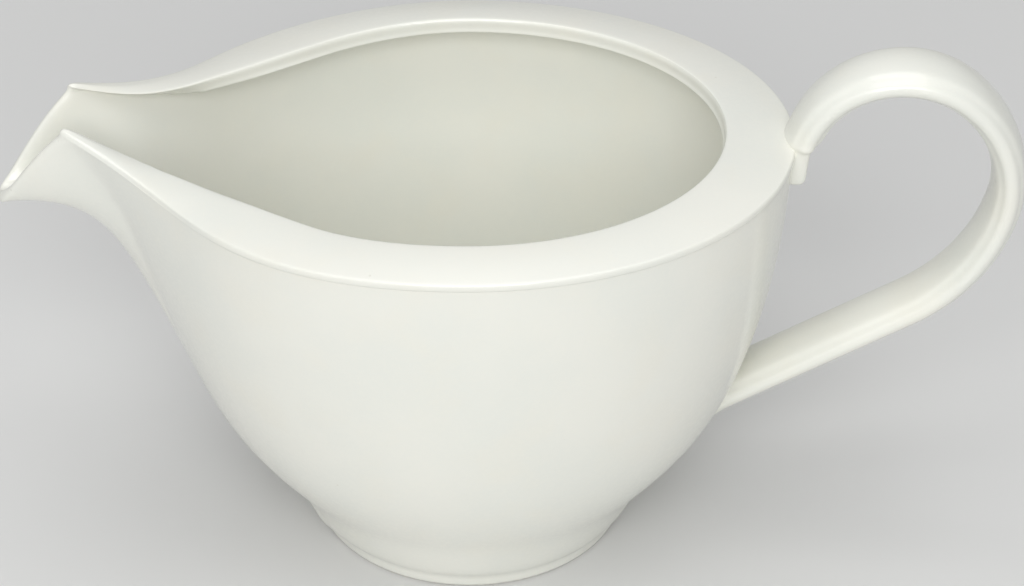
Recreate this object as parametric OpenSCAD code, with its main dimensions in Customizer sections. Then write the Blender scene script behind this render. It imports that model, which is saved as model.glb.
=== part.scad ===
// Gravy boat: an oval bowl on a round foot, with an in-turned rim, a drawn-up spout and a strap handle.
// Millimetres. +X runs to the handle, the spout points along -X, +Z is up.
// The origin is the centre of the foot's resting face.

/* [Foot] */
// Radius of the foot where the bowl sits on it
foot_radius = 31.8; // [27:0.1:34]
// Height of the foot ring
foot_height = 4.6; // [3.4:0.1:6]
// Width of the ring, from its outer side to the recess inside it
foot_ring_width = 5; // [4:0.5:8]
// How far the ring draws in from its top to the table
foot_taper = 0.7; // [0:0.1:2]
// Radius of the ring's rounded lower edges
foot_edge_radius = 1.2; // [0.5:0.1:1.5]

/* [Bowl] */
// Half the rim's length, from the foot's axis to the handle end
rim_half_length = 63.8; // [54:0.2:76]
// Half the rim's width, at its widest
rim_half_width = 51.3; // [44:0.1:62]
// Height of the rim's outer edge above the table
rim_height = 87.9; // [73:0.1:105]
// Thickness of the bowl's wall
wall = 3.2; // [2.4:0.1:4]
// Thickness of the bowl's floor over the foot
floor_thickness = 4; // [3:0.5:6]

/* [Rim] */
// Width of the in-turned rim at the handle end
rim_end_width = 13.8; // [10:0.2:18]
// Width of the in-turned rim at the sides
rim_side_width = 10.9; // [8:0.1:14]
// Depth of the rim's outer edge
rim_edge_depth = 1.6; // [1.2:0.1:3]
// Thickness of the rim at the opening
rim_inner_depth = 3.4; // [2.4:0.1:4.4]
// How far the opening's edge stands above the outer edge
rim_lift = 2; // [0:0.1:3]
// How far the rim's outer edge stands out over the wall
rim_overhang = 0.6; // [0.2:0.1:1.2]
// How far the rim dips between its widest part and the spout
rim_dip = 0.8; // [0:0.1:2]

/* [Spout] */
// Reach of the spout's tip from the foot's axis
spout_reach = 92.2; // [84:0.2:104]
// Height of the spout's tip
spout_tip_height = 73.2; // [68:0.2:78]
// Reach of the lip's two upper corners from the foot's axis
lip_corner_reach = 78.2; // [74:0.2:82]
// Half the width between the lip's corners
lip_corner_half_width = 9; // [7:0.1:12]
// How far the lip's corners stand above the rim
lip_corner_rise = 7; // [3:0.2:12]
// Thickness of the spout's wall at the lip
lip_wall = 2; // [1.6:0.1:2.4]

/* [Handle] */
// Width of the strap where it leaves the rim
strap_start_width = 13.2; // [11:0.2:16]
// Width of the strap at its crest
strap_width = 15.4; // [12.4:0.2:18.6]
// Width of the strap where it meets the bowl's lower wall
strap_foot_width = 14.2; // [11.6:0.2:17.2]
// Thickness of the strap at its edges
strap_edge = 3.6; // [2.8:0.1:4.4]
// How far each broad face of the strap swells at its middle
strap_crown = 1.6; // [0.8:0.1:2.2]
// Radius of the bend that rises from the rim
rise_radius = 19.4; // [16:0.2:23]
// Radius of the bend over the crest and down the back
back_radius = 25.8; // [21:0.2:31]
// Radius of the bend into the straight lower run
lower_radius = 37.5; // [31:0.5:45]
// Slope of the straight lower run
run_slope = 29.5; // [25:0.5:36]
// How far the joint's tab reaches down from the rim's outer edge
tab_drop = 8.4; // [6:0.2:10]

/* [Hidden] */

// Stations round half of the plan: open bowl, then the flare, then the lip, from handle end to keel
flare_angle = 143;
corner_angle = 166.5;
bowl_stations = 24;
flare_stations = 8;
lip_stations = 7;
corner_station = bowl_stations + flare_stations;
half_stations = corner_station + lip_stations;
stations = 2 * half_stations;
// Rows across the floor, where it meets the wall, and rows in all
floor_rows = 4;
wall_rows = 18;
rows = floor_rows + wall_rows;
floor_edge_row = floor_rows + 2;
// The spout's block of the wall starts at this station and this row
spout_station = 28;
spout_row = floor_rows + 7;

// The wall's side view, as shares of its rise and of its flare: [rise, outward reach]
wall_curve = [[0, 0], [0.27, 0.53], [0.18, 0.57], [0.55, 0.99], [1, 1]];
// The opening leaves its ellipse here to run into the spout
opening_angle = 127;

rim_bottom = rim_height - rim_edge_depth;
corner_height = rim_height + lip_corner_rise;
rim_slope = rim_lift / rim_end_width;
lip_corner = [-lip_corner_reach, lip_corner_half_width, corner_height];
spout_tip = [-spout_reach, 0, spout_tip_height];
// Share of the lip's curve that the rim's own depth takes up at the corner
lip_start = rim_edge_depth / (corner_height - spout_tip_height) / 2.4;
// Solids that lie against a curved face keep this much off it
contact_gap = 0.05;
// The lower joint's clearance from the wall is wider, because both are flat between their points there
wall_gap = 0.15;

function unit(v) = v / norm(v);
function flat(v) = [v[0], v[1], 0];
function up(z) = [0, 0, z];
function mix(a, b, k) = a + (b - a) * k;
function ramp(x, low, high) =
    let (k = max(0, min(1, (x - low) / (high - low)))) k * k * (3 - 2 * k);
function bezier(p, t) =
    len(p) == 1 ? p[0] : bezier([for (i = [1 : len(p) - 1]) mix(p[i - 1], p[i], t)], t);

// ---- Plan of the rim and the opening ----

// Angle of a station, from 0 at the handle end to 180 at the spout's keel
function station_angle(i) =
    i <= bowl_stations ? flare_angle * i / bowl_stations
    : i <= corner_station ? mix(flare_angle, corner_angle, (i - bowl_stations) / flare_stations)
    : mix(corner_angle, 180, (i - corner_station) / lip_stations);
function ellipse_point(a, b, angle) = [a * cos(angle), b * sin(angle), 0];
function ellipse_heading(a, b, angle) = unit([-a * sin(angle), b * cos(angle), 0]);
// A curve that leaves the ellipse at a tangent and runs to the lip's corner
function drawn_out(a, b, leaves, lead, end_lead, end, angle) =
    bezier([
        ellipse_point(a, b, leaves),
        ellipse_point(a, b, leaves) + lead * ellipse_heading(a, b, leaves),
        flat(end) + end_lead,
        flat(end)
    ], (angle - leaves) / (corner_angle - leaves));

function rim_dip_at(angle) =
    rim_dip * pow(sin(180 * max(0, min(1, (angle - 90) / (corner_angle - 90)))), 2);
function rim_height_at(angle) =
    angle <= flare_angle ? rim_height
    : bezier([rim_height, rim_height, mix(corner_height, rim_height, 0.54), corner_height],
        (angle - flare_angle) / (corner_angle - flare_angle));
// The rim's outer edge
function rim_point(angle) =
    up(rim_height_at(angle) - rim_dip_at(angle)) + (
        angle <= flare_angle ? ellipse_point(rim_half_length, rim_half_width, angle)
        : drawn_out(rim_half_length, rim_half_width, flare_angle, 13, [11.7, 5, 0], lip_corner, angle)
    );
// The opening's edge, which comes within the lip's own thickness of the outer edge at the corner
opening_half_length = rim_half_length - rim_end_width;
opening_half_width = rim_half_width - rim_side_width;
opening_corner = lip_corner + lip_wall * [0.3, -0.95, 0];
function opening_point(angle) =
    up(rim_point(angle)[2] + rim_lift * (1 - ramp(angle, 140, corner_angle))) + (
        angle <= opening_angle ? ellipse_point(opening_half_length, opening_half_width, angle)
        : drawn_out(opening_half_length, opening_half_width, opening_angle, 25, [14, 1.2, 0],
            opening_corner, angle)
    );

// ---- Wall ----

// How far the lip's edge bows forward and outward between its corner and its tip
lip_fullness = [-2.3, 2.1, 0];
// The spout's lip from its corner to its tip, a slanted V with a rounded bottom
function lip_point(k) =
    bezier([
        lip_corner,
        mix(lip_corner, spout_tip, 0.55) + lip_fullness,
        spout_tip + [0, lip_corner_half_width * 0.62, 0],
        spout_tip
    ], k);
// How far the wall's top has left the rim's edge for the lip's line
function lip_share(angle) = ramp(angle, 136, corner_angle);
// The wall's outer top edge, under the rim and then down the lip
function wall_top(angle) =
    angle > corner_angle ? lip_point(mix(lip_start, 1, (angle - corner_angle) / (180 - corner_angle)))
    : let (
        edge = rim_point(angle),
        inward = unit(flat(opening_point(angle) - edge))
    ) edge + mix(rim_overhang * inward - up(rim_edge_depth), lip_point(lip_start) - lip_corner,
        lip_share(angle));

wall_half_length = rim_half_length - rim_overhang;
wall_half_width = rim_half_width - rim_overhang;
function wall_reach(half, t) = mix(foot_radius, half, bezier(wall_curve, t)[1]);
function wall_height(t) = mix(foot_height, rim_bottom, bezier(wall_curve, t)[0]);
// How much of the rim's draw-out the wall has taken up at a share of its rise: part comes late, near
// the rim, and part comes sooner and forms the spout's keel
late_draw = 15;
keel_draw = 3.15;
function draw_share(rise) = mix(pow(rise, late_draw), pow(rise, keel_draw), 0.54);
function wall_point(angle, t) =
    let (
        oval = ellipse_point(wall_reach(wall_half_length, t), wall_reach(wall_half_width, t), angle),
        oval_top = ellipse_point(wall_half_length, wall_half_width, angle) + up(rim_bottom)
    ) oval + up(wall_height(t)) + draw_share(bezier(wall_curve, t)[0]) * (wall_top(angle) - oval_top);
function row_share(row) = sin(90 * (row - floor_rows) / wall_rows);

function mirrored(p) = [p[0], -p[1], p[2]];
function whole(half) =
    concat(half, [for (i = [half_stations - 1 : -1 : 1]) mirrored(half[i])]);
function around(i) = (i + stations) % stations;

outer_grid = [
    for (row = [0 : rows]) whole([
        for (i = [0 : half_stations])
            row < floor_rows
                ? ellipse_point(foot_radius, foot_radius, station_angle(i)) * row / floor_rows
                    + up(foot_height)
                : wall_point(station_angle(i), row_share(row))
    ])
];
function half_index(i) = i <= half_stations ? i : stations - i;
function wall_thickness(i, row) =
    let (angle = station_angle(half_index(i)))
        mix(wall, lip_wall, ramp(angle, 120, corner_angle) * ramp(row / rows, 0.4, 1));
// Outward direction of the wall; it turns level under the rim, so that the wall's top is flat there
function wall_normal(i, row) =
    let (
        along = outer_grid[row][around(i + 1)] - outer_grid[row][around(i - 1)],
        upward = outer_grid[min(rows, row + 1)][i] - outer_grid[row - 1][i],
        n = unit(cross(along, upward)),
        level = (1 - lip_share(station_angle(half_index(i)))) * ramp(row, rows - 4, rows)
    ) unit([n[0], n[1], n[2] * (1 - level)]);
function inner_wall_point(i, row) =
    outer_grid[row][i] - wall_thickness(i, row) * wall_normal(i, row);
floor_height = foot_height + floor_thickness;
function floor_point(i, row) =
    let (edge = inner_wall_point(i, floor_edge_row), k = row / floor_edge_row)
        k * flat(edge) + up(mix(floor_height, edge[2], pow(k, 5)));
inner_grid = [
    for (row = [0 : rows]) [
        for (i = [0 : stations - 1])
            row < floor_edge_row ? floor_point(i, row) : inner_wall_point(i, row)
    ]
];

// ---- Solids from the wall's grid ----

// Which cells of the grid belong to the spout, and which to the bowl
function belongs(i, row, spout) =
    let (in_spout = row >= spout_row && i >= spout_station && i < stations - spout_station)
        row >= 0 && row < rows && in_spout == spout;

side_points = 1 + rows * stations;
function at(side, i, row) =
    side * side_points + (row == 0 ? 0 : 1 + (row - 1) * stations + around(i));
grid_points = concat(
    [outer_grid[0][0]], [for (row = [1 : rows]) each outer_grid[row]],
    [inner_grid[0][0]], [for (row = [1 : rows]) each inner_grid[row]]
);
function quad(a, b, c, d) = [[a, b, c], [a, c, d]];
// The two skins of one cell, and its edges where the solid has no cell next to it
function cell_faces(i, row, spout) =
    let (
        a = at(0, i, row), b = at(0, i + 1, row), c = at(0, i + 1, row + 1), d = at(0, i, row + 1),
        e = at(1, i, row), f = at(1, i + 1, row), g = at(1, i + 1, row + 1), h = at(1, i, row + 1)
    ) concat(
        row == 0 ? [[a, d, c], [e, g, h]] : concat(quad(a, d, c, b), quad(e, f, g, h)),
        belongs(i, row + 1, spout) ? [] : quad(h, g, c, d),
        row == 0 || belongs(i, row - 1, spout) ? [] : quad(b, f, e, a),
        belongs(around(i - 1), row, spout) ? [] : quad(a, e, h, d),
        belongs(around(i + 1), row, spout) ? [] : quad(b, c, g, f)
    );
module wall_block(spout) {
    polyhedron(grid_points, [
        for (row = [0 : rows - 1], i = [0 : stations - 1])
            if (belongs(i, row, spout)) each cell_faces(i, row, spout)
    ]);
}

// A closed solid from rings of equal length, with a fan from a centre over each end
module ring_solid(rings, first_centre, last_centre) {
    size = len(rings[0]);
    last = len(rings) - 1;
    points = concat([for (ring = rings) each ring], [first_centre, last_centre]);
    polyhedron(points, concat(
        [for (r = [0 : last - 1], i = [0 : size - 1])
            let (a = r * size, j = (i + 1) % size) each quad(a + i, a + j, a + size + j, a + size + i)],
        [for (i = [0 : size - 1]) [(i + 1) % size, i, size * (last + 1)]],
        [for (i = [0 : size - 1]) let (a = last * size) [a + i, a + (i + 1) % size, size * (last + 1) + 1]]
    ));
}
function middle(points) = [for (p = points) 1] * points / len(points);

// ---- Rim ----

// One section of the rim, from the wall's outer top edge round the rim's outer edge, over the top and
// back along the underside to the wall's inner top edge
function rim_section(i) =
    let (
        angle = station_angle(half_index(i)),
        wall_outer = whole_point(outer_grid[rows], i),
        wall_inner = whole_point(inner_grid[rows], i),
        edge = side_of(rim_point(angle), i),
        lip = side_of(opening_point(angle), i),
        width = norm(flat(lip - edge)),
        inward = unit(flat(lip - edge)),
        closing = lip_share(angle),
        round = min(1, width / 3),
        outer_round = min(mix(1, 2.4, closing), width / 3),
        below = mix(-up(rim_edge_depth), wall_outer - edge, closing),
        lip_below = mix(lip - up(rim_inner_depth), wall_inner, closing),
        drop = up(round)
    ) [
        wall_outer,
        wall_outer - mix(rim_overhang - 0.2, 0.04, closing) * inward,
        edge + 0.75 * below,
        edge + 0.25 * below,
        mix(edge, lip, 0.3 * outer_round / width) - up(0.1 * outer_round),
        mix(edge, lip, 1.2 * outer_round / width),
        mix(edge, lip, 0.5) + 0.25 * drop,
        mix(edge, lip, 1 - 1.2 * round / width),
        mix(edge, lip, 1 - 0.35 * round / width) - 0.3 * drop,
        mix(lip, lip_below, 0.3),
        mix(lip, lip_below, 0.75),
        mix(lip_below, wall_inner, 0.08) + 0.02 * (lip - wall_inner),
        wall_inner
    ];
function whole_point(row_points, i) = row_points[around(i)];
function side_of(p, i) = i <= half_stations ? p : mirrored(p);

// ---- Strap handle ----

crest_start = [rim_half_length + 2.3, rim_height + 2.1];
rise_heading = 69;
rise_turn = 108;
back_turn = 65;
lower_turn = 180 - run_slope + rise_heading - rise_turn - back_turn;
function heading_vector(heading) = [cos(heading), sin(heading)];
function left_of(heading) = [-sin(heading), cos(heading)];
// Where a bend to the right ends, and what it passes on the way: [place, heading] in the XZ plane
function bend(from, heading, radius, turn) =
    from - radius * left_of(heading) + radius * left_of(heading - turn);
back_start = bend(crest_start, rise_heading, rise_radius, rise_turn);
back_heading = rise_heading - rise_turn;
lower_start = bend(back_start, back_heading, back_radius, back_turn);
lower_heading = back_heading - back_turn;
run_start = bend(lower_start, lower_heading, lower_radius, lower_turn);
run_heading = lower_heading - lower_turn;

// The wall's handle end at a height: the row share by halving, then the reach at a side step y
function share_at_height(z, low = 0, high = 1, steps = 20) =
    let (t = (low + high) / 2)
        steps == 0 ? t
        : wall_height(t) < z ? share_at_height(z, t, high, steps - 1)
        : share_at_height(z, low, t, steps - 1);
function wall_x(y, z) =
    let (t = share_at_height(z), b = wall_reach(wall_half_width, t))
        wall_reach(wall_half_length, t) * sqrt(1 - y * y / b / b);
// How far a point travels along a direction in the XZ plane until it is near the wall
function travel_to_wall(p, direction, low = 0, high = 60, steps = 20) =
    let (s = (low + high) / 2, x = p[0] + s * direction[0], z = p[2] + s * direction[1])
        steps == 0 ? s
        : x > wall_x(p[1], z) + wall_gap ? travel_to_wall(p, direction, s, high, steps - 1)
        : travel_to_wall(p, direction, low, s, steps - 1);

// Outline of the strap across its length: [across, outward], with rounded edges and swollen faces
function strap_outline(half_width, edge, outer_swell, inner_swell) =
    let (r = 0.45 * edge)
        [for (corner = [0 : 3]) each
            let (
                side = corner == 0 || corner == 3 ? 1 : -1,
                face = corner < 2 ? 1 : -1,
                swell = corner < 2 ? outer_swell : inner_swell,
                share = [0.7, 0.35, 0, -0.35, -0.7]
            ) concat(
                [for (a = [0, 45, 90])
                    let (turn = corner * 90 + a)
                        [side * (half_width - r) + r * cos(turn), face * (edge / 2 - r) + r * sin(turn)]],
                corner == 1 || corner == 3 ? [] :
                    [for (k = share) [side * k * half_width, face * (edge / 2 + swell * (1 - k * k))]]
            )];
function strap_ring(centre, outward, half_width, outer_swell, inner_swell, edge = strap_edge) =
    [for (p = strap_outline(half_width, edge, outer_swell, inner_swell))
        [centre[0], -p[0], centre[1]] + p[1] * [outward[0], 0, outward[1]]];
// Stations along the strap's bends: [place, heading]
function bend_stations(from, heading, radius, turn, count) =
    [for (k = [1 : count]) [bend(from, heading, radius, turn * k / count), heading - turn * k / count]];
strap_path = concat(
    [[crest_start, rise_heading]],
    bend_stations(crest_start, rise_heading, rise_radius, rise_turn, 13),
    bend_stations(back_start, back_heading, back_radius, back_turn, 11),
    bend_stations(lower_start, lower_heading, lower_radius, lower_turn, 9)
);
// Half the strap's width at a share of its bends: it widens up to the crest, then narrows to its foot
function strap_half_width(k) =
    mix(mix(strap_start_width, strap_width, ramp(k, 0, 0.35)), strap_foot_width, ramp(k, 0.35, 1)) / 2;
bend_rings = [
    for (k = [0 : len(strap_path) - 1])
        strap_ring(strap_path[k][0], left_of(strap_path[k][1]),
            strap_half_width(k / (len(strap_path) - 1)), strap_crown, strap_crown)
];

// The straight run stops short of the wall by the joint's depth, with its end cut to the wall's slope
joint_depth = 6;
run_vector = [cos(run_heading), 0, sin(run_heading)];
function cast_to_wall(p, short = 0) =
    p + (travel_to_wall(p, heading_vector(run_heading)) - short) * run_vector;
run_base = bend_rings[len(bend_rings) - 1];
run_rings = [for (k = [0.25 : 0.25 : 1]) [for (p = run_base) mix(p, cast_to_wall(p, joint_depth), k)]];
run_end = run_rings[len(run_rings) - 1];

// The strap's upper end lies on the rim's sloping top and runs out past its edge, as a rounded tongue
function rim_top_at(x) = rim_height + (rim_half_length - x) * rim_slope;
tongue_outer = rim_half_length - 0.1;
tongue_inner = rim_half_length + 3;
tongue_swell = 2.2;
neck_swell = 1.6;
tongue_centre = (tongue_outer + tongue_inner) / 2;
tongue_slope = unit([-1, rim_slope]);
tongue_ring = strap_ring([tongue_centre, rim_top_at(tongue_centre) + contact_gap], tongue_slope,
    strap_start_width / 2, tongue_swell, 0.1, tongue_inner - tongue_outer);
neck_ring = strap_ring(mix([tongue_centre, rim_top_at(tongue_centre)], crest_start, 0.5),
    unit(tongue_slope + left_of(rise_heading)), strap_start_width / 2, neck_swell, 0.5);
strap_rings = concat([tongue_ring, neck_ring], bend_rings, run_rings);

// ---- Joints ----

// The upper joint's section in plan: its back follows the rim's edge or the wall, its front the strap
function tab_ring(z, front, half_width, on_rim) =
    let (r = 1, back = [for (k = [-1 : 0.25 : 1]) k * half_width])
        concat(
            [for (y = back) [
                contact_gap + (on_rim
                    ? rim_half_length * sqrt(1 - y * y / rim_half_width / rim_half_width)
                    : wall_x(y, z)),
                y,
                z]],
            [[front - r, half_width, z], [front - 0.3 * r, half_width - 0.3 * r, z],
                [front, half_width - r, z], [front, r - half_width, z],
                [front - 0.3 * r, 0.3 * r - half_width, z], [front - r, -half_width, z]]
        );
function slid(ring, gap) = [for (p = ring) [p[0], p[1], rim_top_at(p[0]) - gap]];
tab_bottom = rim_height - tab_drop;
tab_inset = 0.4;
tab_half_width = strap_start_width / 2 - tab_inset;
tab_rings = [
    tab_ring(tab_bottom, tongue_inner - 1.3, tab_half_width - 0.8, false),
    tab_ring(tab_bottom + 0.8, tongue_inner - 0.8, tab_half_width, false),
    tab_ring(rim_bottom - 0.35, tongue_inner - 0.4, tab_half_width, false),
    tab_ring(rim_bottom - contact_gap, tongue_inner - 0.2, tab_half_width, true),
    slid(tab_ring(rim_height, tongue_inner, tab_half_width, true), 0)
];

// The lower joint: the strap's end carried on to the wall, and spread a little on its lower side
joint_spread = 2.6;
function joint_ring(share, size = 1) =
    [for (p = strap_outline(strap_foot_width / 2, strap_edge, strap_crown, strap_crown))
        let (
            spread = p[1] > 0 ? joint_spread * pow(share, 2) * p[1] / (strap_edge / 2 + strap_crown) : 0,
            across = -p[0] * (1 + 0.08 * share * share) * size,
            out = (p[1] + spread) * size,
            base = [run_start[0], across, run_start[1]]
                + out * [left_of(run_heading)[0], 0, left_of(run_heading)[1]]
        ) cast_to_wall(base, joint_depth * (1 - share))];
joint_rings = concat([run_end], [for (share = [0.2 : 0.2 : 1]) joint_ring(share)],
    [for (size = [0.75, 0.5, 0.25]) joint_ring(1, size)]);
joint_centre = cast_to_wall([run_start[0], 0, run_start[1]]);

// ---- Sub-parts ----

module bowl() {
    color([0.91, 0.91, 0.86]) wall_block(false);
}

module spout() {
    color([0.9, 0.9, 0.85]) wall_block(true);
}

module rim_flange() {
    sections = [for (i = [-corner_station : corner_station]) rim_section(around(i))];
    color([0.95, 0.95, 0.91]) ring_solid(sections, middle(sections[0]), middle(sections[len(sections) - 1]));
}

module foot_ring() {
    top = foot_radius;
    bottom = foot_radius - foot_taper;
    inside = foot_radius - foot_ring_width;
    r = foot_edge_radius;
    color([0.88, 0.88, 0.83]) rotate_extrude($fn = 96) difference() {
        polygon([[inside, 0], [bottom, 0], [top, foot_height], [inside, foot_height]]);
        translate([bottom - r, 0]) difference() {
            translate([0, -r]) square([3 * r, 2 * r]);
            translate([0, r]) circle(r, $fn = 32);
        }
        translate([inside, 0]) difference() {
            translate([-r, -r]) square([2 * r, 2 * r]);
            translate([r, r]) circle(r, $fn = 32);
        }
    }
}

module handle() {
    color([0.93, 0.93, 0.88])
        ring_solid(strap_rings, middle(tongue_ring), middle(strap_rings[len(strap_rings) - 1]));
}

module upper_joint() {
    color([0.92, 0.92, 0.87]) ring_solid(tab_rings, middle(tab_rings[0]), middle(tab_rings[4]));
}

module lower_joint() {
    color([0.92, 0.92, 0.87]) ring_solid(joint_rings, middle(joint_rings[0]), joint_centre);
}

bowl();
rim_flange();
spout();
foot_ring();
handle();
upper_joint();
lower_joint();
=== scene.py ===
import math

import bmesh
import bpy
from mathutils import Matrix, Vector
from mathutils.bvhtree import BVHTree


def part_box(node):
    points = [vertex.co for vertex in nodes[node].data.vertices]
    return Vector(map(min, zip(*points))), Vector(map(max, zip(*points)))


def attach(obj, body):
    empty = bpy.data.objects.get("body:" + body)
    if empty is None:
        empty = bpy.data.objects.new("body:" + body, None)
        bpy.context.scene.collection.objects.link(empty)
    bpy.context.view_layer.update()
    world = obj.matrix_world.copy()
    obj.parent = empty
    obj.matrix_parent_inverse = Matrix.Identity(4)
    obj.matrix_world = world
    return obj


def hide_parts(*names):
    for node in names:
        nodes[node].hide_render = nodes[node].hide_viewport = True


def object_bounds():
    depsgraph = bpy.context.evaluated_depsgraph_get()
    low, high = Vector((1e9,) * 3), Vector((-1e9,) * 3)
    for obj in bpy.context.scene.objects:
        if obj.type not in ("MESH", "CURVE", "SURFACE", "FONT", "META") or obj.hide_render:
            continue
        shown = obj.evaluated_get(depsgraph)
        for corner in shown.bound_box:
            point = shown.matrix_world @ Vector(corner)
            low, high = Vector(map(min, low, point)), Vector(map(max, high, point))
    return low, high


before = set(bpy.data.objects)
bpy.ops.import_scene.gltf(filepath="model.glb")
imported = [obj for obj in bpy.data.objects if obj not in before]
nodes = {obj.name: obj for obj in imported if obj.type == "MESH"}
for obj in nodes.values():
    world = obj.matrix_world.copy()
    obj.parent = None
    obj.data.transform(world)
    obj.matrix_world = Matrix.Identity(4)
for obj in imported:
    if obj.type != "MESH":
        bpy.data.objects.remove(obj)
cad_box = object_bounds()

MM = 0.001
scene = bpy.context.scene

# ---- Camera ----
# A long lens, raised 35 degrees above the table, looks across the boat with the spout to the left
# and the handle to the right.
CAMERA_RISE = math.radians(35)
CAMERA_DISTANCE = 850 * MM
CAMERA_LENS = 149.4
SENSOR_WIDTH = 36
CAMERA_SHIFT = Vector((0.06, 0, -2.5)) * MM
NEAREST_SEEN = 0.05
box_middle = (cad_box[0] + cad_box[1]) / 2
camera_target = box_middle + CAMERA_SHIFT
camera_back = Vector((0, -math.cos(CAMERA_RISE), math.sin(CAMERA_RISE)))
camera = bpy.data.objects.new("camera", bpy.data.cameras.new("camera"))
scene.collection.objects.link(camera)
camera.data.sensor_width = SENSOR_WIDTH
camera.data.lens = CAMERA_LENS
camera.data.clip_start = NEAREST_SEEN
camera.location = camera_target + camera_back * CAMERA_DISTANCE
camera.rotation_euler = (-camera_back).to_track_quat("-Z", "Y").to_euler()
scene.camera = camera

# ---- Vessel: bowl, rim, spout and foot ----
# The body of the boat is one slip casting in ivory china, so the bowl, the in-turned rim, the spout
# and the foot flow into each other. It is glazed all over, but for the flat ring it stands on.
# Faces whose middles fall in one cell of SAME_PLACE lie against each other. Triangles join into quads
# up to a bend of FLAT_ENOUGH and a skew of SQUARE_ENOUGH.
WELD = 0.02 * MM
SAME_PLACE = 0.01 * MM
FLAT_ENOUGH = math.radians(60)
SQUARE_ENOUGH = math.radians(70)
HOLD_ROUNDS = 2
HOLD_SHARE = 0.85
SUBDIVISIONS = 2
FOOT_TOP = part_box("foot_ring")[1].z
FOOT_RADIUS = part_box("foot_ring")[1].x


def welded_copy(name, *sources):
    """The CAD nodes' shapes as one skin, without the faces where they lie against each other."""
    shape = bmesh.new()
    for source in sources:
        shape.from_mesh(nodes[source].data)
    meetings = {}
    for face in shape.faces:
        middle = face.calc_center_median() / SAME_PLACE
        meetings.setdefault(tuple(round(c) for c in middle), []).append(face)
    inner = [face for met in meetings.values() if len(met) > 1 for face in met]
    bmesh.ops.delete(shape, geom=inner, context="FACES")
    bmesh.ops.remove_doubles(shape, verts=shape.verts, dist=WELD)
    bmesh.ops.join_triangles(
        shape,
        faces=shape.faces,
        angle_face_threshold=FLAT_ENOUGH,
        angle_shape_threshold=SQUARE_ENOUGH,
    )
    open_edges = sum(1 for edge in shape.edges if len(edge.link_faces) != 2)
    print(name, "faces", len(shape.faces), "edges that don't join two faces", open_edges)
    return shape


def held_to_size(shape, above=0.0):
    """Moves the corners out, so that the smooth surface runs through them and not inside them."""
    wanted = {vert: vert.co.copy() for vert in shape.verts if vert.co.z > above}
    for _ in range(HOLD_ROUNDS):
        centres = {face: face.calc_center_median() for face in shape.faces}
        edge_points = {
            edge: (
                sum((vert.co for vert in edge.verts), Vector())
                + sum((centres[face] for face in edge.link_faces), Vector())
            ) / 4
            for edge in shape.edges
        }
        settled = {}
        for vert in wanted:
            count = len(vert.link_edges)
            faces_sum = sum((centres[face] for face in vert.link_faces), Vector())
            edges_sum = sum((edge_points[edge] for edge in vert.link_edges), Vector())
            ends_sum = sum((edge.other_vert(vert).co for edge in vert.link_edges), Vector())
            halfway = (ends_sum / count + vert.co) / 2
            refined = (faces_sum / count + 2 * halfway + (count - 3) * vert.co) / count
            pulled = count ** 2 * refined + 4 * edges_sum + faces_sum
            settled[vert] = pulled / (count * (count + 5))
        for vert, place in settled.items():
            vert.co += HOLD_SHARE * (wanted[vert] - place)


def finished_piece(name, shape, stands_for):
    """Makes the object, lets it ride on the part and gives it a smooth surface."""
    for face in shape.faces:
        face.smooth = True
    mesh = bpy.data.meshes.new(name)
    shape.to_mesh(mesh)
    shape.free()
    piece = bpy.data.objects.new(name, mesh)
    scene.collection.objects.link(piece)
    smoothing = piece.modifiers.new("smoothing", "SUBSURF")
    smoothing.levels = SUBDIVISIONS
    smoothing.render_levels = SUBDIVISIONS
    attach(piece, "root")
    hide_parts(*stands_for)
    return piece


vessel_shape = welded_copy("vessel", "bowl", "spout", "rim_flange")
floor_underside = [
    face for face in vessel_shape.faces
    if all(abs(vert.co.z - FOOT_TOP) < WELD for vert in face.verts)
]
bmesh.ops.delete(vessel_shape, geom=floor_underside, context="FACES")

# The foot's profile from its outer side round the resting face to the recess: how far in from the
# foot's radius, in mm, and the share of its height
foot_profile = [
    (0.2, 0.75), (0.4, 0.46), (0.55, 0.24), (0.8, 0.1), (1.3, 0.015), (2, 0), (2.8, 0),
    (3.6, 0.01), (4.3, 0.09), (4.75, 0.28), (5, 0.6), (5.5, 0.9), (7, 1), (15.8, 1), (23.8, 1),
    (30.3, 1),
]
ring_edges = [edge for edge in vessel_shape.edges if edge.is_boundary]
ring_radius = FOOT_RADIUS
ring_height = FOOT_TOP
for inset, share in foot_profile:
    grown = bmesh.ops.extrude_edge_only(vessel_shape, edges=ring_edges)["geom"]
    ring_edges = [part for part in grown if isinstance(part, bmesh.types.BMEdge)]
    ring_verts = [part for part in grown if isinstance(part, bmesh.types.BMVert)]
    next_radius = FOOT_RADIUS - inset * MM
    next_height = FOOT_TOP * share
    draw_in = next_radius / ring_radius
    bmesh.ops.scale(vessel_shape, verts=ring_verts, vec=(draw_in, draw_in, 1))
    bmesh.ops.translate(vessel_shape, verts=ring_verts, vec=(0, 0, next_height - ring_height))
    ring_radius = next_radius
    ring_height = next_height
bmesh.ops.pointmerge(vessel_shape, verts=ring_verts, merge_co=(0, 0, ring_height))
bmesh.ops.recalc_face_normals(vessel_shape, faces=vessel_shape.faces)


def sponged(shape, chosen, passes, along_z=True):
    """Rounds the edges of the chosen region, as wiping with a wet sponge does."""
    verts = [vert for vert in shape.verts if chosen(vert.co)]
    for _ in range(passes):
        bmesh.ops.smooth_vert(
            shape, verts=verts, factor=0.5, use_axis_x=True, use_axis_y=True, use_axis_z=along_z
        )


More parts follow.
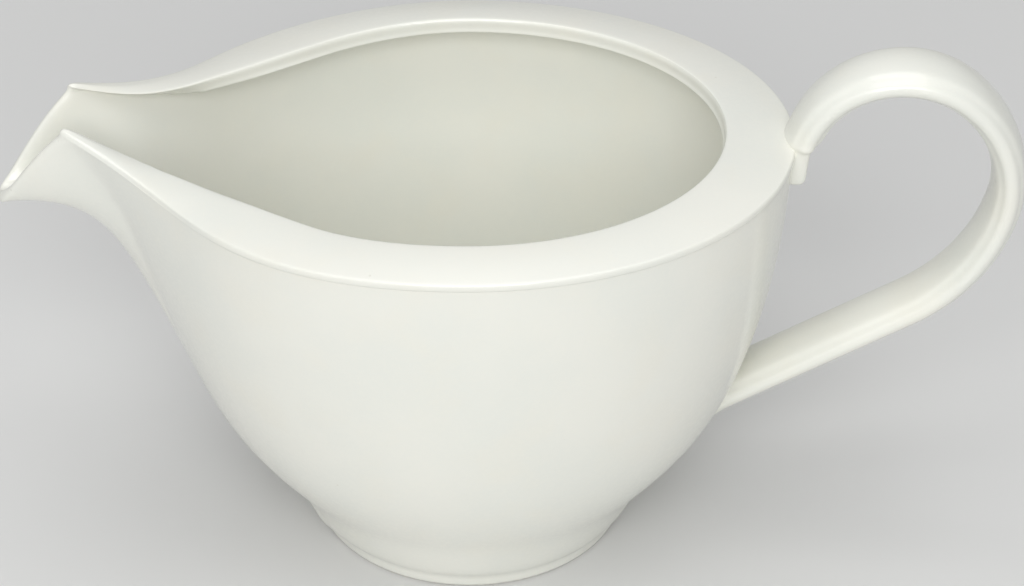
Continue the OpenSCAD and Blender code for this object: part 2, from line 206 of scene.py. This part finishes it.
# The turn between foot and bowl is a soft hollow, and so are the shoulders and corners of the lip
RIM_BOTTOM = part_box("rim_flange")[0].z
NECK_BOTTOM = 0.3 * FOOT_TOP
NECK_TOP = FOOT_TOP + 6.5 * MM
NECK_INNER = FOOT_RADIUS - MM
LIP_START = -66 * MM
LIP_BOTTOM = 0.9 * RIM_BOTTOM
SHOULDER_START = -38 * MM
SHOULDER_BOTTOM = RIM_BOTTOM + 0.5 * MM
sponged(
    vessel_shape,
    lambda spot: NECK_BOTTOM < spot.z < NECK_TOP and spot.xy.length > NECK_INNER,
    passes=6,
    along_z=False,
)
held_to_size(vessel_shape, above=NECK_TOP)
sponged(vessel_shape, lambda spot: spot.x < LIP_START and spot.z > LIP_BOTTOM, passes=2)
sponged(
    vessel_shape,
    lambda spot: LIP_START < spot.x < SHOULDER_START and spot.z > SHOULDER_BOTTOM,
    passes=1,
)
vessel_skin = BVHTree.FromBMesh(vessel_shape)
vessel = finished_piece(
    "vessel", vessel_shape, ["bowl", "spout", "rim_flange", "foot_ring"]
)


OBJECT_COORDINATES = 3


class Signal:
    """One output of a material's nodes, which can take part in sums."""

    def __init__(self, tree, socket=None):
        self.tree = tree
        self.socket = socket

    def add(self, kind, settings=None, inputs=None, output=0):
        node = self.tree.nodes.new(kind)
        for name, value in (settings or {}).items():
            setattr(node, name, value)
        for name, value in (inputs or {}).items():
            if isinstance(value, Signal):
                self.tree.links.new(value.socket, node.inputs[name])
            else:
                node.inputs[name].default_value = value
        return Signal(self.tree, node.outputs[output])

    def maths(self, operation, first, second):
        return self.add("ShaderNodeMath", {"operation": operation}, {0: first, 1: second})

    def __add__(self, other):
        return self.maths("ADD", self, other)

    def __sub__(self, other):
        return self.maths("SUBTRACT", self, other)

    def __rsub__(self, other):
        return self.maths("SUBTRACT", other, self)

    def __mul__(self, other):
        return self.maths("MULTIPLY", self, other)

    def between(self, low, high):
        """0 below low, 1 above high, and smooth between them."""
        settings = {"interpolation_type": "SMOOTHSTEP"}
        return self.add("ShaderNodeMapRange", settings, {0: self, 1: low, 2: high, 3: 0.0, 4: 1.0})

    def blended(self, base, top):
        """One colour over another, where this signal is the share of the upper one."""
        settings = {"data_type": "RGBA"}
        inputs = {0: self, 6: base, 7: top}
        return self.add("ShaderNodeMix", settings, inputs, output=2)


def clay_material(name):
    """An empty material, its shader and the signal that the other nodes start from."""
    material = bpy.data.materials.new(name)
    material.use_nodes = True
    tree = material.node_tree
    shader = tree.nodes["Principled BSDF"]
    return material, tree, shader, Signal(tree)


def clouds(start, place, size, detail=2.0, roughness=0.5):
    """Soft noise whose lumps are about size across, in metres."""
    return start.add(
        "ShaderNodeTexNoise",
        {"noise_dimensions": "3D"},
        {"Vector": place, "Scale": 1 / size, "Detail": detail, "Roughness": roughness},
    )


def specks(start, place, spacing, radius, share):
    """Small round spots, in only a share of the cells that space them."""
    settings = {"feature": "F1", "distance": "EUCLIDEAN"}
    inputs = {"Vector": place, "Scale": 1 / spacing}
    distance = start.add("ShaderNodeTexVoronoi", settings, inputs)
    cell = start.add("ShaderNodeTexVoronoi", settings, inputs, output=1)
    parts = start.add("ShaderNodeSeparateColor", None, {"Color": cell})
    chosen = (1 - parts).between(1 - share, 1 - share + 0.01)
    spot = 1 - distance.between(0.5 * radius / spacing, radius / spacing)
    return spot * chosen


IVORY = (0.862, 0.862, 0.792, 1)
IVORY_COOL = (0.832, 0.842, 0.778, 1)
IVORY_WARM = (0.866, 0.846, 0.748, 1)
SPECK = (0.56, 0.53, 0.43, 1)


def ivory_glaze(name, waviness=1.0):
    """Ivory glaze, satin from its own fine ripple, with soft tone changes and few faint specks."""
    material, tree, shader, start = clay_material(name)
    place = start.add("ShaderNodeTexCoord", output=OBJECT_COORDINATES)
    drift = clouds(start, place, 34 * MM, 3).between(0.38, 0.64)
    warmth = clouds(start, place, 15 * MM, 4).between(0.46, 0.72)
    tone = drift.blended(IVORY, IVORY_COOL)
    tone = (warmth * 0.35).blended(tone, IVORY_WARM)
    grain = clouds(start, place, 0.9 * MM, 2).between(0.35, 0.75)
    tone = (grain * 0.1).blended(tone, IVORY_WARM)
    faint = specks(start, place, 9 * MM, 0.32 * MM, 0.45)
    strong = specks(start, place, 26 * MM, 0.45 * MM, 0.5)
    tone = (faint * 0.28).blended(tone, SPECK)
    tone = (strong * 0.5).blended(tone, SPECK)
    ripple = clouds(start, place, 6.5 * MM, 1, 0.4)
    peel = clouds(start, place, 1.6 * MM, 1, 0.45)
    height = ripple * 0.05 * waviness + peel * 0.006 - faint * 0.03
    bump = start.add(
        "ShaderNodeBump", None, {"Strength": 0.5, "Distance": MM, "Height": height}
    )
    links = tree.links
    links.new(tone.socket, shader.inputs["Base Color"])
    links.new(bump.socket, shader.inputs["Normal"])
    dullness = clouds(start, place, 11 * MM, 3).between(0.3, 0.75) * 0.08 + 0.3
    links.new(dullness.socket, shader.inputs["Roughness"])
    coat = 0.55 - grain * 0.12
    links.new(coat.socket, shader.inputs["Coat Weight"])
    shader.inputs["Coat Roughness"].default_value = 0.13
    shader.inputs["Coat IOR"].default_value = 1.5
    shader.inputs["IOR"].default_value = 1.5
    return material, tree, shader, start, place, tone


# The glaze on the vessel stops at the flat ring it stands on: that is bare, finely sanded china,
# greyed a little by tables, and the glaze thins towards it.
BARE_TOP = 0.35 * MM
BARE_CHINA = (0.83, 0.8, 0.73, 1)
BARE_GREYED = (0.66, 0.64, 0.59, 1)
material, tree, shader, start, place, tone = ivory_glaze("vessel_glaze")
height_of = start.add("ShaderNodeSeparateXYZ", None, {"Vector": place}, output=2)
ragged = clouds(start, place, 2.5 * MM, 3) * (0.3 * MM)
bare = 1 - (height_of - ragged).between(BARE_TOP * 0.3, BARE_TOP)
sanding = clouds(start, place, 0.5 * MM, 3).between(0.4, 0.7)
bare_tone = (sanding * 0.6).blended(BARE_CHINA, BARE_GREYED)
tree.links.new(bare.blended(tone, bare_tone).socket, shader.inputs["Base Color"])
glazed_roughness = Signal(tree, shader.inputs["Roughness"].links[0].from_socket)
glazed_coat = Signal(tree, shader.inputs["Coat Weight"].links[0].from_socket)
tree.links.new((glazed_roughness + bare * 0.5).socket, shader.inputs["Roughness"])
tree.links.new((glazed_coat * (1 - bare)).socket, shader.inputs["Coat Weight"])
vessel.data.materials.append(material)

# ---- Handle, with its two joints ----
# A strap of the same china, with two swollen faces and soft edges, bent into a loop. It was luted on
# with slip while both were leather-hard: a tab holds its upper end under the rim, and its lower end
# spreads a little on to the wall. The joints are wiped smooth and glazed over.
BED_REACH = 0.4 * MM
BED_DEPTH = 1 * MM
SKIN_CELL = 0.45 * MM
SKIN_SMOOTHING = 7
SKIN_WIPE = 0.5


def bedded(shape, host):
    """Sinks what lies against the host a little way into it, so that no light shows between them."""
    for vert in shape.verts:
        _, normal, _, distance = host.find_nearest(vert.co)
        if distance < BED_REACH:
            bmesh.ops.translate(shape, verts=[vert], vec=-normal * BED_DEPTH)


handle_shape = welded_copy("handle", "handle", "lower_joint")
held_to_size(handle_shape)
strap_skin = BVHTree.FromBMesh(handle_shape)
bedded(handle_shape, vessel_skin)
tab_shape = welded_copy("tab", "upper_joint")
bedded(tab_shape, vessel_skin)
bedded(tab_shape, strap_skin)
tab_mesh = bpy.data.meshes.new("tab")
tab_shape.to_mesh(tab_mesh)
tab_shape.free()
handle_shape.from_mesh(tab_mesh)
handle = finished_piece(
    "strap_handle", handle_shape, ["handle", "upper_joint", "lower_joint"]
)
skin = handle.modifiers.new("one_skin", "REMESH")
skin.mode = "VOXEL"
skin.voxel_size = SKIN_CELL
skin.use_smooth_shade = True
wiping = handle.modifiers.new("wiped_seams", "SMOOTH")
wiping.factor = SKIN_WIPE
wiping.iterations = SKIN_SMOOTHING
handle.data.materials.append(ivory_glaze("handle_glaze", waviness=0.8)[0])

# ---- Table and studio ----
# A plain pale sheet under the boat and three soft lamps: a wide one above and in front, one overhead
# and a faint one from the front left.
sheet = bmesh.new()
bmesh.ops.create_grid(sheet, x_segments=1, y_segments=1, size=6)
sheet_mesh = bpy.data.meshes.new("table_sheet")
sheet.to_mesh(sheet_mesh)
sheet.free()
table = bpy.data.objects.new("table_sheet", sheet_mesh)
scene.collection.objects.link(table)
table_material, tree, shader, start = clay_material("pale_sheet")
place = start.add("ShaderNodeTexCoord", output=OBJECT_COORDINATES)
cloud = clouds(start, place, 0.12, 2)
sheet_tone = cloud.blended((0.7, 0.7, 0.69, 1), (0.73, 0.73, 0.72, 1))
tree.links.new(sheet_tone.socket, shader.inputs["Base Color"])
shader.inputs["Roughness"].default_value = 0.85
table.data.materials.append(table_material)


def soft_lamp(name, width, height, power, place, target=(0, 0, 0.05)):
    """A wide soft lamp that faces the boat."""
    lamp = bpy.data.objects.new(name, bpy.data.lights.new(name, "AREA"))
    lamp.data.shape = "RECTANGLE"
    lamp.data.size = width
    lamp.data.size_y = height
    lamp.data.energy = power
    lamp.location = place
    lamp.rotation_euler = (Vector(place) - Vector(target)).to_track_quat("Z", "Y").to_euler()
    scene.collection.objects.link(lamp)


soft_lamp("front_lamp", 1.0, 0.8, 13.5, (0, -1.3, 0.95))
soft_lamp("left_lamp", 0.9, 0.8, 1.6, (-1.0, -1.0, 0.8))
soft_lamp("overhead_lamp", 1.1, 1.1, 7.6, (0, 0, 1.4))
world = bpy.data.worlds.new("studio")
world.use_nodes = True
world.node_tree.nodes["Background"].inputs["Color"].default_value = (0.97, 0.98, 1, 1)
world.node_tree.nodes["Background"].inputs["Strength"].default_value = 0.32
scene.world = world
scene.view_settings.view_transform = "Standard"

bpy.context.view_layer.update()
